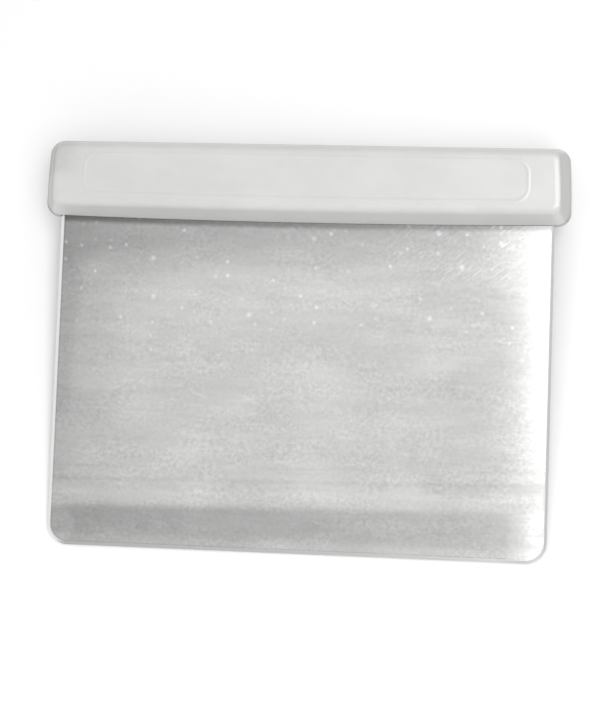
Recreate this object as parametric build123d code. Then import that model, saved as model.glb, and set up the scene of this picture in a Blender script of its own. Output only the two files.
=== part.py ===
from build123d import *
from math import atan2, cos, degrees, sin
import os

# Bench scraper. All sizes are in millimetres.
# It is drawn square to the blade first: X along the working edge, Y from the working edge
# towards the handle, Z through the blade's thickness. lay_down() then puts it at rest on a bench.

# Blade
BLADE_WIDTH = 152.4
BLADE_EXPOSED = 100.8
BLADE_THICKNESS = 1.2
BLADE_CORNER_RADIUS = 6.35
RIM_BEVEL_WIDTH = 0.9
RIM_BEVEL_DROP = 0.22
GRIND_HEIGHT = 13.5
GRIND_EDGE_THICKNESS = 0.98
TANG_DEPTH = 15.8
TANG_CORNER_RADIUS = 2.0
TANG_HOLE_DIAMETER = 6.0
TANG_HOLE_PITCH = 30.0
TANG_HOLE_COUNT = 5
TANG_HOLE_DEPTH = 9.3

# Handle, measured on its middle plane
HANDLE_HEIGHT = 24.6
HANDLE_LENGTH_LOWER = 162.0
HANDLE_LENGTH_UPPER = 160.3
HANDLE_CORNER_RADIUS = 4.4
LOWER_CROWN = 1.0
END_CROWN = 0.3

# Handle, front and back faces
HANDLE_HALF_THICKNESS = 9.5
END_SLOPE_INSET = 3.6
LOWER_SLOPE_INSET = 3.3
UPPER_SLOPE_INSET = 2.2
FACE_CROWN = 0.5
FACE_CORNER_RADIUS = 3.2
FACE_EDGE_RADIUS = 2.7

# Fine raised bead that frames the panel on each face of the handle
PANEL_LENGTH = 136.0
PANEL_HEIGHT = 14.3
PANEL_CORNER_RADIUS = 4.8
PANEL_OFFSET = 0.55
BEAD_RISE = 0.13
BEAD_SLOPE = 0.6
BEAD_CREST = 0.3

# Small moulded details
PARTING_RIDGE_RISE = 0.12
PARTING_RIDGE_WIDTH = 0.4
MOUTH_GAP = 0.35
MOUTH_DEPTH = 0.9

HANDLE_BASE = BLADE_EXPOSED
HANDLE_TOP = HANDLE_BASE + HANDLE_HEIGHT
PANEL_LOW = HANDLE_BASE + (HANDLE_HEIGHT - PANEL_HEIGHT) / 2 + PANEL_OFFSET
PANEL_HIGH = PANEL_LOW + PANEL_HEIGHT


def blade_blank():
    length = BLADE_EXPOSED + TANG_DEPTH
    with BuildPart() as blank:
        with BuildSketch(Plane.XY.offset(-BLADE_THICKNESS / 2)) as outline:
            with Locations((0, length / 2)):
                Rectangle(BLADE_WIDTH, length)
            lower_corners = outline.vertices().group_by(Axis.Y)[0]
            fillet(lower_corners, BLADE_CORNER_RADIUS)
            upper_corners = outline.vertices().group_by(Axis.Y)[-1]
            fillet(upper_corners, TANG_CORNER_RADIUS)
        extrude(amount=BLADE_THICKNESS)
    return blank.part


def grinding_wedge():
    """The metal ground off the front of the working edge."""
    edge_z = GRIND_EDGE_THICKNESS / 2
    face_z = BLADE_THICKNESS / 2
    with BuildPart() as wedge:
        with BuildSketch(Plane.YZ.offset(-BLADE_WIDTH)):
            with BuildLine():
                Polyline((0, edge_z), (GRIND_HEIGHT, face_z), (0, face_z), close=True)
            make_face()
        extrude(amount=2 * BLADE_WIDTH)
    return wedge.part


def make_blade():
    blade = blade_blank()
    for lowest_or_highest in (0, -1):
        face = blade.faces().sort_by(Axis.Z)[lowest_or_highest]
        blade = blade.chamfer(RIM_BEVEL_WIDTH, RIM_BEVEL_DROP, face.edges(), face)
    wedge = grinding_wedge()
    blade = blade - wedge - mirror(wedge, Plane.XY)
    first_hole = -TANG_HOLE_PITCH * (TANG_HOLE_COUNT - 1) / 2
    for index in range(TANG_HOLE_COUNT):
        centre = Location((first_hole + index * TANG_HOLE_PITCH, HANDLE_BASE + TANG_HOLE_DEPTH, 0))
        blade -= centre * Cylinder(TANG_HOLE_DIAMETER / 2, 2 * BLADE_THICKNESS)
    return blade


def crowned_outline(height, lower_length, upper_length, low, high, corner_radius, crown, end_crown):
    """An outline on a plane parallel to the blade, bowed outwards along its lower side and its ends."""
    half_lower = lower_length / 2
    half_upper = upper_length / 2
    lower_left, lower_right = (-half_lower, low + crown), (half_lower, low + crown)
    upper_left, upper_right = (-half_upper, high), (half_upper, high)
    half_middle = (half_lower + half_upper) / 2 + end_crown
    middle = (low + crown + high) / 2
    with BuildSketch(Plane.XY.offset(height)) as outline:
        with BuildLine():
            ThreePointArc(lower_left, (0, low), lower_right)
            ThreePointArc(lower_right, (half_middle, middle), upper_right)
            Line(upper_right, upper_left)
            ThreePointArc(upper_left, (-half_middle, middle), lower_left)
        make_face()
        fillet(outline.vertices(), corner_radius)
    return outline.sketch


def middle_outline(height=0, margin=0):
    return crowned_outline(
        height,
        HANDLE_LENGTH_LOWER + 2 * margin,
        HANDLE_LENGTH_UPPER + 2 * margin,
        HANDLE_BASE - margin,
        HANDLE_TOP + margin,
        HANDLE_CORNER_RADIUS + margin,
        LOWER_CROWN,
        END_CROWN,
    )


def face_outline():
    return crowned_outline(
        HANDLE_HALF_THICKNESS,
        HANDLE_LENGTH_LOWER - 2 * END_SLOPE_INSET,
        HANDLE_LENGTH_UPPER - 2 * END_SLOPE_INSET,
        HANDLE_BASE + LOWER_SLOPE_INSET,
        HANDLE_TOP - UPPER_SLOPE_INSET,
        FACE_CORNER_RADIUS,
        FACE_CROWN,
        END_CROWN,
    )


def panel_outline(height, inset):
    length = PANEL_LENGTH - 2 * inset
    low, high = PANEL_LOW + inset, PANEL_HIGH - inset
    radius = PANEL_CORNER_RADIUS - inset
    return crowned_outline(height, length, length, low, high, radius, FACE_CROWN, END_CROWN)


def panel_bead():
    foot, top = HANDLE_HALF_THICKNESS, HANDLE_HALF_THICKNESS + BEAD_RISE
    outside = loft([panel_outline(foot, 0).face(), panel_outline(top, BEAD_SLOPE).face()], ruled=True)
    crest_end = BEAD_SLOPE + BEAD_CREST
    foot_end = crest_end + BEAD_SLOPE
    inside = loft([panel_outline(foot, foot_end).face(), panel_outline(top, crest_end).face()], ruled=True)
    return outside - inside


def make_front_half():
    half = loft([middle_outline().face(), face_outline().face()], ruled=True)
    face_edges = half.faces().sort_by(Axis.Z)[-1].edges()
    half = fillet(face_edges, FACE_EDGE_RADIUS)
    return half + panel_bead()


def parting_ridge():
    """The fine raised line where the two halves of the mould met."""
    wider = middle_outline(-PARTING_RIDGE_WIDTH / 2, PARTING_RIDGE_RISE)
    return extrude(wider.face(), PARTING_RIDGE_WIDTH)


def mouth_relief():
    """The narrow gap around the blade where the plastic has drawn back from it."""
    depth = MOUTH_DEPTH + LOWER_CROWN
    centre = Location((0, HANDLE_BASE + depth / 2, 0))
    width = BLADE_WIDTH + 2 * MOUTH_GAP
    thickness = BLADE_THICKNESS + 2 * MOUTH_GAP
    return centre * Box(width, depth, thickness)


def make_handle(blade):
    front = make_front_half()
    # The half is the same on the left and right, so turning it over gives the back
    back = front.rotate(Axis.Y, 180)
    handle = front + back + parting_ridge()
    return handle - mouth_relief() - blade


def lay_down(solid):
    """Rest the scraper on its working edge and on the back of its handle, and centre it on the origin."""
    # The working edge touches where its bevel meets the ground face
    bevel_slope = RIM_BEVEL_DROP / RIM_BEVEL_WIDTH
    ground_slope = (BLADE_THICKNESS - GRIND_EDGE_THICKNESS) / 2 / GRIND_HEIGHT
    rim_drop = BLADE_THICKNESS / 2 - RIM_BEVEL_DROP
    edge_y = (GRIND_EDGE_THICKNESS / 2 - rim_drop) / (bevel_slope - ground_slope)
    edge_drop = rim_drop + bevel_slope * edge_y
    bead_y = PANEL_LOW + BEAD_SLOPE
    bead_drop = HANDLE_HALF_THICKNESS + BEAD_RISE
    tilt = atan2(bead_drop - edge_drop, bead_y - edge_y)
    return solid.rotate(Axis.X, degrees(tilt))


def main():
    blade = make_blade()
    handle = make_handle(blade)
    laid = {"blade": lay_down(blade), "handle": lay_down(handle)}
    bounds = Compound(list(laid.values())).bounding_box()
    move = Location((-bounds.center().X, -bounds.center().Y, -bounds.min.Z))
    os.makedirs("parts", exist_ok=True)
    for name, solid in laid.items():
        export_step(move * solid, f"parts/{name}.step")


main()
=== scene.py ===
import math

import bpy
from mathutils import Matrix, Vector

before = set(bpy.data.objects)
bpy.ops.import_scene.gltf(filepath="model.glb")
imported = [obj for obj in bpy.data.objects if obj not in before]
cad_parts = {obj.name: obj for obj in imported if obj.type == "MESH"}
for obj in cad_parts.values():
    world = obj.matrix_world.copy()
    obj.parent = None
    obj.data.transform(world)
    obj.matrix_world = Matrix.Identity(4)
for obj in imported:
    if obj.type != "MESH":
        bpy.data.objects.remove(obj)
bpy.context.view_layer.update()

# All lengths and places are in the frame's metres, and all angles in degrees. A pair such as
# BAND_X = (0.01, 0.02) is a ramp: an effect is 0 at the first value and full at the second.
#
# The tones, patches and lights below were set to match one lit view of the object. They follow
# places on it, and aren't measurements of how its surfaces are really finished.

# Camera
CAMERA_TARGET = Vector((0.0003, -0.0026, 0.008))
CAMERA_DISTANCE = 0.500
CAMERA_AZIMUTH = 34.34
CAMERA_ELEVATION = 79.45
CAMERA_ROLL = -32.17
CAMERA_LENS_MM = 83.25

# Studio dome: brightness at its rim and overhead, and directions as parts of a unit vector
HORIZON_LIGHT = 0.55
ZENITH_LIGHT = 1.12
GAP_RIGHT_EDGE_X = (-0.185, -0.275)
GAP_LEFT_EDGE_X = (-0.50, -0.36)
GAP_Y = (-0.10, -0.02)
GAP_SHARE_IN_FRONT = 0.7
GAP_LIGHT = 0.5
RIGHT_SIDE_X = (0.35, 0.75)
RIGHT_SIDE_LIGHT = 0.45
FRONT_SIDE_Y = (-0.35, -0.8)
FRONT_SIDE_LIGHT = 1.5

# Floor
FLOOR_HALF_SIZE = 3.0
FLOOR_DARK, FLOOR_LIGHT = (0.95, 0.95, 0.95), (0.97, 0.97, 0.97)
FLOOR_ROUGHNESS = 0.9

# How the scraper lies: where its working edge's middle plane is, and the blade's slope
EDGE_PLANE_Y = -0.06252
EDGE_PLANE_Z = 0.00045
TILT = 4.897

# The blade's outline
BLADE_HALF_WIDTH = 0.0762
BLADE_REACH = 0.06255
BLADE_CORNER = 0.00635
WORKING_EDGE_Y = -0.0625

# The handle's lower edge at its middle, and how fast its curve rises to the ends
HANDLE_EDGE = 0.03791
HANDLE_CROWN = 0.0010 / 0.0810**2

# Handle plastic
PLASTIC_IOR = 1.49
PLASTIC_SPECULAR = 0.3
PLASTIC_ROUGHNESS = (0.34, 0.42)
PLASTIC_COLOUR = (0.645, 0.645, 0.638)
# A faint uneven darker patch at the upper left of the handle
DARK_PATCH_X = (-0.066, -0.076)
DARK_PATCH_Y = (0.046, 0.054)
DARK_PATCH_TONE = 0.87
# Painted shade on the end walls, most of all near the parting line
END_WALL_NORMAL_X = (0.45, 0.80)
END_WALL_SHADE = 0.81
END_FOOT_LEVEL = (0.0032, 0.0008)
END_FOOT_SHADE = 0.92
# Painted shade round the mouth that the blade enters
MOUTH_SHADE_LEVEL = (0.0018, 0.0006)
MOUTH_SHADE_REACH = (0.006, 0.0005)
MOUTH_SHADE_TONE = 0.72

# Blade steel
STEEL_VALUE = 0.565
STEEL_TINT = (1.0, 1.0, 0.992)
STEEL_ROUGHNESS = (0.175, 0.215)
STEEL_ANISOTROPY = 0.9
MARK_BRIGHTNESS = 0.30
MARK_ROUGHNESS = 0.03

# Blade: the finish's bands are a little out of square to the working edge
BAND_SLANT = 0.017
GROUND_HEIGHT = (0.0158, 0.0112)
GROUND_FADE_X = (0.061, 0.070)
GROUND_FADE_LEFT = 0.05
GROUND_TONE_X = (-0.03, 0.02)
GROUND_TONES = (0.69, 0.75)
GROUND_ROUGHNESS = 0.06
WORN_HEIGHT = (0.0065, 0.0005)
WORN_TONE = 1.22
# A painted highlight at the lower right of the blade
PAINTED_HIGHLIGHT_X = (0.0670, 0.0730)
PAINTED_HIGHLIGHT_HEIGHT = (0.021, 0.012)
PAINTED_HIGHLIGHT_TONE = 1.20
# Each is the band's height, its half width and its tone
FINISH_BANDS = (
    (0.0215, 0.0012, 0.93),
    (0.0255, 0.0008, 0.96),
    (0.0175, 0.0022, 1.05),
)

# Blade: the band below the handle, dull steel with painted shade from the handle, with its ragged,
# slanting lower edge
DULL_SHADE_HEIGHT = (0.082, 0.098)
DULL_SHADE_RAGGED = 0.02
DULL_SHADE_SLANT = 0.06
DULL_SHADE_X = (-0.05, 0.05)
DULL_SHADE_TONES = (0.70, 0.84)

# Blade: soft patches, each its middle, its reach and its tone
PATCH_RAGGED = 1.6
PATCHES = (
    ((0.050, -0.022), (0.026, 0.026), 0.95),
    ((0.030, -0.010), (0.022, 0.016), 0.96),
    ((-0.073, -0.056), (0.007, 0.010), 1.16),
    ((-0.077, 0.006), (0.010, 0.034), 0.90),
)

# Blade: painted shade in the corner where it enters the handle
JOINT_SHADE_DEPTH = (0.0022, 0.0004)
JOINT_SHADE_X = (-0.055, 0.045)
JOINT_SHADE_TONES = (0.46, 0.68)

# Blade: flecks, each layer its spacing, size, share of cells and seed
FLECK_LAYERS = ((0.0046, 0.0009, 0.26, 0.3), (0.0095, 0.0013, 0.30, 1.7))
FLECK_HEIGHT = (0.045, 0.085)
FLECK_SHARE_BELOW = 0.12
FLECK_STRENGTH = 0.75

# Blade: scratches, each its angle, length, width, noise ramp, seed and strength
CORNER_SCRATCH = (-38, 0.007, 0.00040, (0.61, 0.76), 2.3, 0.8)
CORNER_X = (0.015, 0.045)
CORNER_HEIGHT = (0.078, 0.090)
STRAY_SCRATCHES = (
    (25, 0.012, 0.00020, (0.72, 0.80), 5.1, 0.6),
    (-60, 0.010, 0.00020, (0.73, 0.80), 7.7, 0.5),
)

# Blade: the bevelled rim, its tone painted lighter on the left and darker on the right as painted
# light and shade, and the thin line of painted shade inside it
RIM_DEPTH = (0.0011, 0.0007)
CREASE_DEPTH = 0.00118
CREASE_HALF_WIDTH = 0.00032
CREASE_SHADE = 0.87
RIM_LEFT_X = (-0.070, -0.074)
RIM_RIGHT_X = (0.060, 0.072)
# The rim's tones, lighter on the left and darker on the right, are painted light and shade
RIM_VALUE_LEFT, RIM_VALUE_LOWER, RIM_VALUE_RIGHT = 0.86, 0.60, 0.50
RIM_ROUGHNESS_LEFT, RIM_ROUGHNESS = 0.33, 0.5


class Nodes:
    """Short calls for making and joining the nodes of one shader tree."""

    def __init__(self, tree, coordinates):
        self.tree = tree
        self.position = self.add("TexCoord").outputs[coordinates]

    def add(self, kind):
        return self.tree.nodes.new("ShaderNode" + kind)

    def link(self, out, into):
        self.tree.links.new(out, into)

    def put(self, node, name, value):
        if isinstance(value, bpy.types.NodeSocket):
            self.link(value, node.inputs[name])
        else:
            node.inputs[name].default_value = value

    def math(self, operation, *values):
        node = self.add("Math")
        node.operation = operation
        for index, value in enumerate(values):
            self.put(node, index, value)
        return node.outputs[0]

    def total(self, first, *others):
        for other in others:
            first = self.math("ADD", first, other)
        return first

    def product(self, first, *others):
        for other in others:
            first = self.math("MULTIPLY", first, other)
        return first

    def less(self, first, second):
        return self.math("SUBTRACT", first, second)

    def size(self, value):
        return self.math("ABSOLUTE", value)

    def ramp(self, value, reach, low=0.0, high=1.0, smooth=True):
        """low where value is reach[0], high where it is reach[1], and held beyond them."""
        node = self.add("MapRange")
        node.interpolation_type = "SMOOTHSTEP" if smooth else "LINEAR"
        self.put(node, "Value", value)
        self.put(node, "From Min", reach[0])
        self.put(node, "From Max", reach[1])
        self.put(node, "To Min", low)
        self.put(node, "To Max", high)
        return node.outputs[0]

    def tint(self, tone, mask, change):
        """tone as it is where mask is 0, and times change where it is 1."""
        return self.product(tone, self.ramp(mask, (0, 1), 1.0, change))

    def blend(self, factor, first, second):
        """first where factor is 0, second where it is 1."""
        rest = self.product(self.less(1.0, factor), first)
        return self.total(rest, self.product(factor, second))

    def axes(self):
        return self.parts(self.position)

    def parts(self, vector):
        node = self.add("SeparateXYZ")
        self.link(vector, node.inputs[0])
        return node.outputs

    def mapped(self, vector, scale=(1, 1, 1), offset=(0, 0, 0), turn=0):
        node = self.add("Mapping")
        self.put(node, "Vector", vector)
        self.put(node, "Scale", scale)
        self.put(node, "Location", offset)
        self.put(node, "Rotation", (0, 0, math.radians(turn)))
        return node.outputs[0]

    def noise(self, vector, scale, detail=2.0, rough=0.5):
        node = self.add("TexNoise")
        self.put(node, "Vector", vector)
        self.put(node, "Scale", scale)
        self.put(node, "Detail", detail)
        self.put(node, "Roughness", rough)
        return node.outputs["Fac"]

    def patch(self, middle, reach, ragged):
        """1 in the middle of a soft oval, falling to 0 at its ragged edge."""
        x, y, z = self.axes()
        across = self.math("DIVIDE", self.less(x, middle[0]), reach[0])
        up = self.math("DIVIDE", self.less(y, middle[1]), reach[1])
        squares = self.total(self.product(across, across), self.product(up, up))
        return self.ramp(self.total(squares, ragged), (1.0, 0.3))

    def colour(self, factor, first, second):
        node = self.add("Mix")
        node.data_type = "RGBA"
        self.put(node, "Factor", factor)
        self.put(node, "A", (*first, 1))
        self.put(node, "B", (*second, 1))
        return node.outputs["Result"]

    def bump(self, height, distance, strength, normal=None):
        node = self.add("Bump")
        self.put(node, "Height", height)
        self.put(node, "Distance", distance)
        self.put(node, "Strength", strength)
        if normal is not None:
            self.link(normal, node.inputs["Normal"])
        return node.outputs[0]


class Surface(Nodes):
    """The nodes of a new material with one Principled shader."""

    def __init__(self, name):
        self.material = bpy.data.materials.new(name)
        self.material.use_nodes = True
        self.material.node_tree.nodes.clear()
        super().__init__(self.material.node_tree, "Object")
        output = self.add("OutputMaterial")
        self.shader = self.add("BsdfPrincipled")
        self.link(self.shader.outputs[0], output.inputs[0])

    def set(self, name, value):
        self.put(self.shader, name, value)


def handle_edge(n, x):
    """The y of the handle's lower edge, which is lowest in the middle, as it is crowned."""
    return n.total(HANDLE_EDGE, n.product(HANDLE_CROWN, n.product(x, x)))


def off_middle_plane(n, y, z):
    """How far a point is from the plane through the middle of the blade and the handle."""
    along_y = n.product(n.less(y, EDGE_PLANE_Y), -math.sin(math.radians(TILT)))
    along_z = n.product(n.less(z, EDGE_PLANE_Z), math.cos(math.radians(TILT)))
    return n.size(n.total(along_y, along_z))


def handle_material():
    n = Surface("handle_plastic")
    x, y, z = n.axes()
    cloud = n.noise(n.position, scale=45, detail=3)
    patches = n.noise(n.mapped(n.position, (1, 1.6, 1), (3, 1, 0)), scale=110, detail=4, rough=0.6)
    grain = n.noise(n.position, scale=1500, detail=2)
    tone = n.ramp(cloud, (0.32, 0.68), 0.97, 1.0)
    tone = n.product(tone, n.ramp(patches, (0.35, 0.65), 0.975, 1.0))

    # A faint uneven darker patch at the upper left
    dark_patch = n.product(n.ramp(x, DARK_PATCH_X), n.ramp(y, DARK_PATCH_Y))
    dark_patch = n.product(dark_patch, n.ramp(patches, (0.42, 0.52), 0.6, 1.0))
    tone = n.tint(tone, dark_patch, DARK_PATCH_TONE)

    # Painted shade: the end walls are darker, most of all near the parting line
    normal = n.add("TexCoord").outputs["Normal"]
    end_wall_shade = n.ramp(n.size(n.parts(normal)[0]), END_WALL_NORMAL_X)
    tone = n.tint(tone, end_wall_shade, END_WALL_SHADE)
    off_plane = off_middle_plane(n, y, z)
    foot_shade = n.product(end_wall_shade, n.ramp(off_plane, END_FOOT_LEVEL))
    tone = n.tint(tone, foot_shade, END_FOOT_SHADE)

    # Painted shade round the mouth that the blade enters
    from_mouth = n.less(y, handle_edge(n, x))
    mouth_shade = n.product(n.ramp(off_plane, MOUTH_SHADE_LEVEL), n.ramp(from_mouth, MOUTH_SHADE_REACH))
    tone = n.tint(tone, mouth_shade, MOUTH_SHADE_TONE)

    n.set("IOR", PLASTIC_IOR)
    n.set("Specular IOR Level", PLASTIC_SPECULAR)
    n.set("Base Color", n.colour(tone, (0.0, 0.0, 0.0), PLASTIC_COLOUR))
    n.set("Roughness", n.ramp(n.total(grain, patches), (0.7, 1.3), *PLASTIC_ROUGHNESS))
    ripple = n.bump(cloud, distance=0.0009, strength=0.5)
    n.set("Normal", n.bump(grain, distance=0.00002, strength=0.35, normal=ripple))
    return n.material


def rim_depth(n, x, y):
    """How far inside the blade's rounded outline a point is."""
    across = n.total(n.size(x), BLADE_CORNER - BLADE_HALF_WIDTH)
    down = n.less(BLADE_CORNER - BLADE_REACH, y)
    squares = [n.math("POWER", n.math("MAXIMUM", side, 0.0), 2.0) for side in (across, down)]
    corner = n.math("SQRT", n.total(*squares))
    inner = n.math("MINIMUM", n.math("MAXIMUM", across, down), 0.0)
    return n.less(BLADE_CORNER, n.total(corner, inner))


def scratch_layer(n, angle, length, width, reach, seed, strength):
    """Thin bright marks that run one way: noise drawn out along a line, cut off near its peaks."""
    turned = n.mapped(n.position, offset=(seed, seed * 0.7, 0), turn=angle)
    drawn = n.mapped(turned, scale=(1 / length, 1 / width, 1))
    return n.ramp(n.noise(drawn, scale=1, detail=1), reach), strength


def flecks(n, spacing, size, share, seed):
    """Small bright dots, one in some of the cells of an uneven grid."""
    cells = n.add("TexVoronoi")
    cells.voronoi_dimensions = "2D"
    n.put(cells, "Vector", n.mapped(n.position, (1, 1, 0), (seed, seed, 0)))
    n.put(cells, "Scale", 1 / spacing)
    pick = n.add("SeparateColor")
    n.link(cells.outputs["Color"], pick.inputs[0])
    chosen = n.math("LESS_THAN", pick.outputs[0], share)
    dot = n.ramp(cells.outputs["Distance"], (size / spacing, 0.0))
    brightness = n.ramp(pick.outputs[1], (0, 1), 0.3, 1.0)
    return n.product(chosen, n.product(dot, brightness))


def blade_marks(n, x, height):
    """Flecks and scratches: 1 where a mark is brightest."""
    upper = n.ramp(height, FLECK_HEIGHT, FLECK_SHARE_BELOW, 1.0)
    dots = n.total(*[flecks(n, *layer) for layer in FLECK_LAYERS])
    dots = n.product(dots, n.product(upper, FLECK_STRENGTH))
    corner = n.product(n.ramp(x, CORNER_X), n.ramp(height, CORNER_HEIGHT))
    lines, strength = scratch_layer(n, *CORNER_SCRATCH)
    lines = n.product(lines, n.product(corner, strength))
    stray = [n.product(*scratch_layer(n, *layer)) for layer in STRAY_SCRATCHES]
    return n.math("MINIMUM", n.total(n.total(dots, lines), n.total(*stray)), 1.0)


def blade_material():
    n = Surface("blade_steel")
    x, y, z = n.axes()
    streaks = n.noise(n.mapped(n.position, (45, 260, 260)), scale=1, detail=3, rough=0.55)
    hairs = n.noise(n.mapped(n.position, (90, 2600, 2600)), scale=1, detail=2, rough=0.6)
    mottle = n.noise(n.position, scale=900, detail=1)
    blotch = n.noise(n.mapped(n.position, (1, 1.3, 1)), scale=38, detail=3)
    blotch_swing = n.less(blotch, 0.5)

    # Fine grain along the blade, with a mottle that is stronger in some areas
    areas = n.noise(n.mapped(n.position, (1, 2, 1), (5, 0, 0)), scale=70, detail=2)
    mottle_share = n.product(n.ramp(areas, (0.35, 0.65), 0.04, 0.11), 2.0)
    mottle_swing = n.less(n.ramp(mottle, (0.25, 0.75), smooth=False), 0.5)
    tone = n.total(1.0, n.product(mottle_swing, mottle_share))
    tone = n.product(tone, n.ramp(streaks, (0.3, 0.7), 0.95, 1.05, smooth=False))
    tone = n.product(tone, n.ramp(hairs, (0.25, 0.75), 0.975, 1.025, smooth=False))
    tone = n.product(tone, n.ramp(blotch, (0.35, 0.65), 0.96, 1.04))

    # The ground band, the worn working edge and the fine bands above them
    height = n.less(y, WORKING_EDGE_Y)
    slanted = n.less(height, n.product(x, BAND_SLANT))
    ground = n.ramp(slanted, GROUND_HEIGHT)
    ground = n.product(ground, n.ramp(x, GROUND_FADE_X, 1.0, GROUND_FADE_LEFT))
    # A painted highlight at the lower right of the blade
    painted_highlight = n.product(n.ramp(x, PAINTED_HIGHLIGHT_X), n.ramp(height, PAINTED_HIGHLIGHT_HEIGHT))
    tone = n.tint(tone, painted_highlight, PAINTED_HIGHLIGHT_TONE)
    tone = n.tint(tone, ground, n.ramp(x, GROUND_TONE_X, *GROUND_TONES))
    tone = n.tint(tone, n.ramp(height, WORN_HEIGHT), WORN_TONE)
    for middle, half_width, change in FINISH_BANDS:
        away = n.size(n.less(slanted, middle))
        tone = n.product(tone, n.ramp(away, (half_width, 0), 1.0, change))

    # The band below the handle: dull steel with painted shade from the handle
    ragged_height = n.total(height, n.product(blotch_swing, DULL_SHADE_RAGGED))
    ragged_height = n.less(ragged_height, n.product(x, DULL_SHADE_SLANT))
    dull_shade_tone = n.ramp(x, DULL_SHADE_X, *DULL_SHADE_TONES, smooth=False)
    tone = n.product(tone, n.ramp(ragged_height, DULL_SHADE_HEIGHT, 1.0, dull_shade_tone))

    for middle, reach, change in PATCHES:
        patch = n.patch(middle, reach, n.product(blotch_swing, PATCH_RAGGED))
        tone = n.tint(tone, patch, change)

    # Painted shade in the corner where the blade enters the handle
    below_handle = n.less(handle_edge(n, x), y)
    joint_shade_tone = n.ramp(x, JOINT_SHADE_X, *JOINT_SHADE_TONES, smooth=False)
    tone = n.product(tone, n.ramp(below_handle, JOINT_SHADE_DEPTH, 1.0, joint_shade_tone))

    marks = blade_marks(n, x, height)
    value = n.total(n.product(tone, STEEL_VALUE), n.product(marks, MARK_BRIGHTNESS))

    # The bevelled rim: its tone is painted lighter on the left and darker on the right, and a thin
    # line of painted shade runs inside it
    depth = rim_depth(n, x, y)
    crease_shade = n.ramp(n.size(n.less(depth, CREASE_DEPTH)), (CREASE_HALF_WIDTH, 0.0))
    value = n.tint(value, crease_shade, CREASE_SHADE)
    rim = n.ramp(depth, RIM_DEPTH)
    rim_value = n.ramp(x, RIM_RIGHT_X, RIM_VALUE_LOWER, RIM_VALUE_RIGHT)
    rim_value = n.ramp(x, RIM_LEFT_X, rim_value, RIM_VALUE_LEFT)
    value = n.blend(rim, value, rim_value)
    steel = n.add("CombineColor")
    for channel, tint in enumerate(STEEL_TINT):
        n.put(steel, channel, n.product(value, tint))

    rough = n.ramp(hairs, (0.25, 0.75), *STEEL_ROUGHNESS)
    extra = n.total(n.product(marks, MARK_ROUGHNESS), n.product(ground, GROUND_ROUGHNESS))
    rim_rough = n.ramp(x, RIM_LEFT_X, RIM_ROUGHNESS, RIM_ROUGHNESS_LEFT)
    rough = n.blend(rim, n.total(rough, extra), rim_rough)

    # The grain runs along X, so the highlights spread across it, along Y
    across_grain = n.add("CombineXYZ")
    across_grain.inputs["Y"].default_value = 1.0
    wave = n.bump(n.noise(n.position, scale=22, detail=1), distance=0.0006, strength=0.35)
    fine = n.bump(hairs, distance=0.000004, strength=0.6, normal=wave)

    n.set("Metallic", 1.0)
    n.set("Anisotropic", STEEL_ANISOTROPY)
    n.set("Tangent", across_grain.outputs[0])
    n.set("Base Color", steel.outputs[0])
    n.set("Roughness", rough)
    n.set("Normal", n.bump(mottle, distance=0.000004, strength=0.35, normal=fine))
    return n.material


def paint(node, material):
    node.data.materials.clear()
    node.data.materials.append(material)


def floor():
    size = FLOOR_HALF_SIZE
    corners = [(-size, -size, 0), (size, -size, 0), (size, size, 0), (-size, size, 0)]
    mesh = bpy.data.meshes.new("floor")
    mesh.from_pydata(corners, [], [(0, 1, 2, 3)])
    piece = bpy.data.objects.new("floor", mesh)
    bpy.context.collection.objects.link(piece)
    n = Surface("floor_pale")
    n.set("Base Color", n.colour(n.noise(n.position, scale=3), FLOOR_DARK, FLOOR_LIGHT))
    n.set("Roughness", FLOOR_ROUGHNESS)
    mesh.materials.append(n.material)


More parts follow.
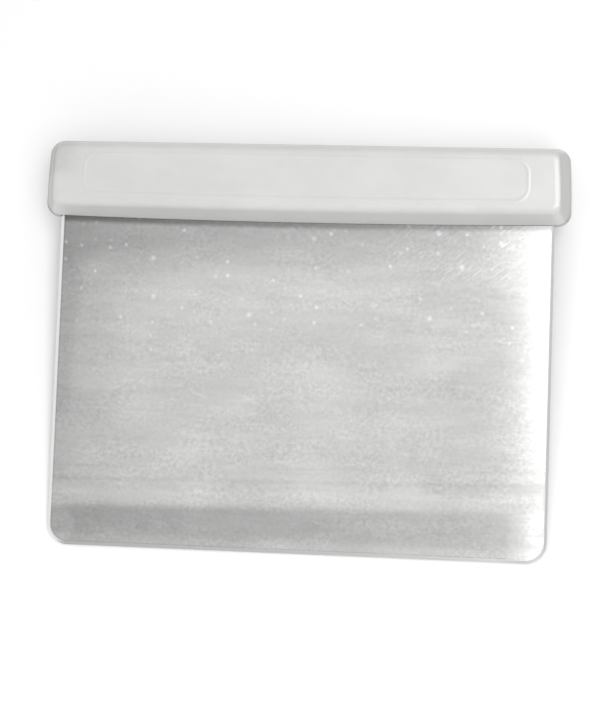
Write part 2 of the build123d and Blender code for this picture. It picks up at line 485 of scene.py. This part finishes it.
def dome():
    """A soft white dome: dimmer at the horizon, with a gap to the left and a dark right side."""
    world = bpy.data.worlds.new("studio")
    world.use_nodes = True
    n = Nodes(world.node_tree, "Generated")
    x, y, z = n.axes()
    light = n.ramp(z, (0.0, 1.0), HORIZON_LIGHT, ZENITH_LIGHT, smooth=False)
    gap = n.product(n.ramp(x, GAP_RIGHT_EDGE_X), n.ramp(x, GAP_LEFT_EDGE_X))
    gap = n.product(gap, n.ramp(y, GAP_Y, GAP_SHARE_IN_FRONT, 1.0))
    light = n.tint(light, gap, GAP_LIGHT)
    light = n.product(light, n.ramp(x, RIGHT_SIDE_X, 1.0, RIGHT_SIDE_LIGHT))
    light = n.product(light, n.ramp(y, FRONT_SIDE_Y, 1.0, FRONT_SIDE_LIGHT))
    background = world.node_tree.nodes["Background"]
    n.put(background, "Color", (1, 1, 1, 1))
    n.put(background, "Strength", light)
    bpy.context.scene.world = world


def softbox(name, place, turn, width, height, brightness):
    """A rectangular soft box, facing down where turn is only about Z."""
    light = bpy.data.lights.new(name, "AREA")
    light.shape = "RECTANGLE"
    light.size, light.size_y = width, height
    light.energy = brightness * math.pi * width * height
    piece = bpy.data.objects.new(name, light)
    piece.location = place
    piece.rotation_euler = [math.radians(angle) for angle in turn]
    bpy.context.collection.objects.link(piece)
    return piece


def studio():
    dome()
    # Its near edge is the bright strip down the right-hand side of the blade
    softbox(
        "overhead_box", (0.2530, -0.035, 0.55), (0, 0, 8), width=0.30, height=0.62, brightness=2.15
    )
    # It gives only highlights, and only on the handle, for the line along its right-hand end
    strip = softbox(
        "side_strip", (0.46, 0.03, 0.55), (0, 40, 0), width=0.60, height=0.56, brightness=12.5
    )
    strip.visible_diffuse = False
    lit = bpy.data.collections.new("lit_by_side_strip")
    lit.objects.link(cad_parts["handle"])
    strip.light_linking.receiver_collection = lit
    bpy.context.scene.view_settings.view_transform = "Standard"


def camera():
    azimuth, elevation = math.radians(CAMERA_AZIMUTH), math.radians(CAMERA_ELEVATION)
    back = Vector((
        math.sin(azimuth) * math.cos(elevation),
        -math.cos(azimuth) * math.cos(elevation),
        math.sin(elevation),
    ))
    roll = Matrix.Rotation(math.radians(CAMERA_ROLL), 3, "Z").to_quaternion()
    data = bpy.data.cameras.new("camera")
    data.lens = CAMERA_LENS_MM
    piece = bpy.data.objects.new("camera", data)
    piece.location = CAMERA_TARGET + CAMERA_DISTANCE * back
    piece.rotation_mode = "QUATERNION"
    piece.rotation_quaternion = (-back).to_track_quat("-Z", "Y") @ roll
    bpy.context.collection.objects.link(piece)
    bpy.context.scene.camera = piece


paint(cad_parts["handle"], handle_material())
paint(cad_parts["blade"], blade_material())
floor()
studio()
camera()
